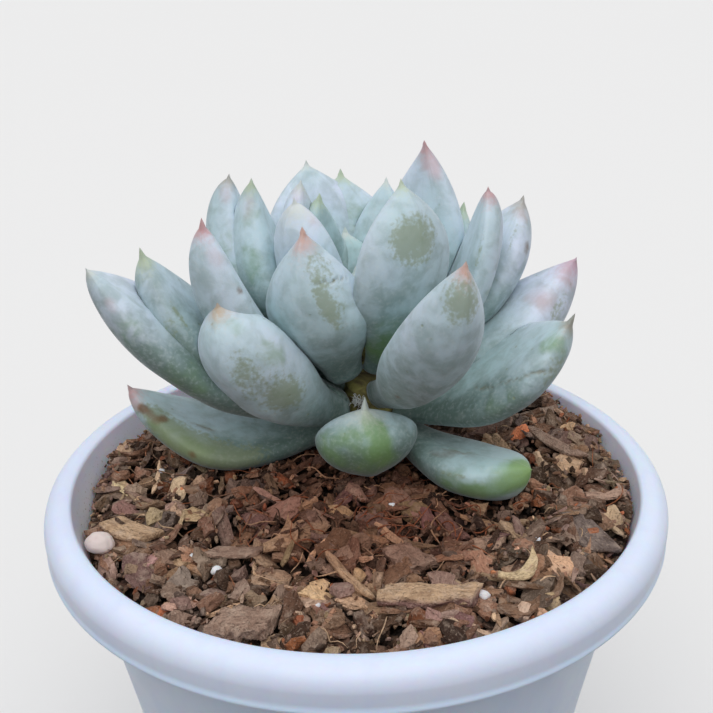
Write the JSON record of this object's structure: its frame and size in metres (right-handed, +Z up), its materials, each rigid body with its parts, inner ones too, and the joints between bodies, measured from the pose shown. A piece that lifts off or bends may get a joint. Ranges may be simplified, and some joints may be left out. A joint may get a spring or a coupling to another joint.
{
  "type": "potted succulent",
  "caption": "Rosette succulent with fleshy pointed leaves on a short stem, growing in bark in a round tapered plastic pot with a rolled rim and drain holes.",
  "frame": {"origin": "middle of the pot's foot, where it stands", "axes": "+Z up along the pot's axis, -Y towards the front, where the leaf lies low over the bark"},
  "size_m": [0.11, 0.11, 0.143],
  "materials": {
    "pot_plastic": "smooth white plastic, slightly blue, half gloss",
    "bark": "shredded bark, rough and dark between the pieces",
    "bark_chip": "dry bark, rough, tan to grey brown",
    "stem": "green brown, rough",
    "leaf": "fleshy leaf with a pale powdery bloom, grey green to lavender, pink or yellow at the tip",
    "pebble": "pale pink, matt"
  },
  "bodies": {
    "root": {"pot": "pot_plastic", "bark_bed": "bark", "stem": "stem", "leaf_front_left": "leaf", "leaf_front_right": "leaf", "leaf_low_front": "leaf", "leaf_right_low": "leaf", "leaf_low_right": "leaf", "leaf_low_left": "leaf", "leaf_centre_front": "leaf", "leaf_centre_right": "leaf", "leaf_left_second": "leaf", "leaf_far_left": "leaf", "leaf_left_third": "leaf", "leaf_right_back_near": "leaf", "leaf_far_right": "leaf", "leaf_right_back_far": "leaf", "leaf_left_inner": "leaf", "leaf_left_back": "leaf", "leaf_inner_left": "leaf", "leaf_bud": "leaf", "leaf_inner_back": "leaf", "leaf_inner_front": "leaf", "leaf_inner_right": "leaf", "leaf_back_third": "leaf", "leaf_back_second": "leaf", "leaf_top_right": "leaf", "leaf_back_pink": "leaf", "leaf_back_first": "leaf", "leaf_back_green": "leaf", "leaf_upper_behind_right": "leaf", "leaf_upper_behind_left": "leaf", "leaf_left_behind": "leaf", "leaf_behind_right": "leaf", "leaf_behind_left": "leaf", "leaf_behind_middle": "leaf", "leaf_behind_far_left": "leaf", "leaf_low_behind": "leaf", "leaf_low_behind_left": "leaf", "bark_chunk": "bark_chip", "bark_plate": "bark_chip", "bark_curl": "bark_chip", "bark_front_left": "bark_chip", "bark_block": "bark_chip", "bark_sliver": "bark_chip", "bark_tan_left": "bark_chip", "bark_flat_left": "bark_chip", "bark_right": "bark_chip", "bark_leaning": "bark_chip", "bark_long_right": "bark_chip", "pebble": "pebble"}
  },
  "joints": []
}
